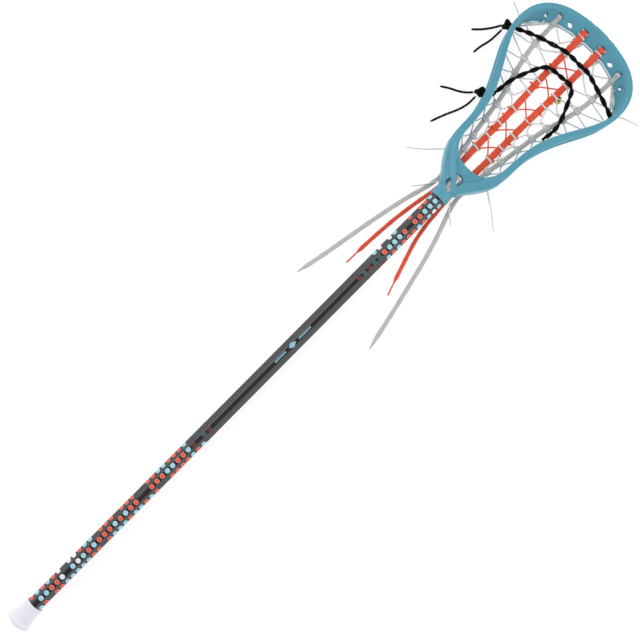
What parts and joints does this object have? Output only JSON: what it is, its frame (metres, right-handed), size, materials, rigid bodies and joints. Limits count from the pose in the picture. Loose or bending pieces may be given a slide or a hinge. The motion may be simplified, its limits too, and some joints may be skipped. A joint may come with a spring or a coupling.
{
  "type": "lacrosse stick",
  "caption": "Lacrosse stick lying on its back: moulded head with a traditional leather and string pocket on an eight-sided shaft with a flared end cap.",
  "frame": {"origin": "centre of the end cap's flat butt face, on the shaft's axis", "axes": "+X runs along the shaft from the butt to the scoop, +Z points out of the open face of the pocket, +Y is to the left seen from above with the scoop away from the viewer"},
  "size_m": [1.0744, 0.2503, 0.0332],
  "materials": {
    "head_plastic": "satin moulded nylon, teal blue",
    "shaft_paint": "satin black coat over alloy, with rows of round dots at both ends",
    "cap_rubber": "smooth white rubber",
    "screw_steel": "zinc plated",
    "grey_leather": "grey leather",
    "red_leather": "orange-red leather",
    "red_lace": "braided orange-red lace",
    "white_lace": "braided pale grey nylon",
    "black_cord": "black waxed nylon"
  },
  "bodies": {
    "stick": {"centre_lace": "red_lace", "cross_lace_left": "white_lace", "cross_lace_right": "white_lace", "head_frame": "head_plastic", "lace_tail_scoop_left": "white_lace", "lace_tail_scoop_right": "white_lace", "lace_tail_socket_left": "white_lace", "lace_tail_socket_right": "white_lace", "lace_tail_throat_left": "white_lace", "lace_tail_throat_right": "white_lace", "shaft_tube": "shaft_paint", "shooting_knot_lower": "black_cord", "shooting_knot_upper": "black_cord", "shooting_string_lower": "black_cord", "shooting_string_upper": "black_cord", "shooting_tail_lower_1": "black_cord", "shooting_tail_lower_2": "black_cord", "shooting_tail_upper_1": "black_cord", "shooting_tail_upper_2": "black_cord", "sidewall_lace_left": "white_lace", "sidewall_lace_right": "white_lace", "thong_inner_left": "red_leather", "thong_inner_right": "red_leather", "thong_outer_left": "grey_leather", "thong_outer_right": "grey_leather", "thong_tail_inner_left": "red_leather", "thong_tail_inner_right": "red_leather", "thong_tail_outer_left": "grey_leather", "thong_tail_outer_right": "grey_leather"},
    "cap": {"end_cap": "cap_rubber"},
    "screw": {"head_screw": "screw_steel"}
  },
  "joints": [
    {"name": "cap_slide", "type": "slide", "parent": "stick", "child": "cap", "axis": [-1, 0, 0], "range_m": [0, 0.04]},
    {"name": "screw_slide", "type": "slide", "parent": "stick", "child": "screw", "axis": [0, 0, -1], "range_m": [0, 0.02]}
  ]
}
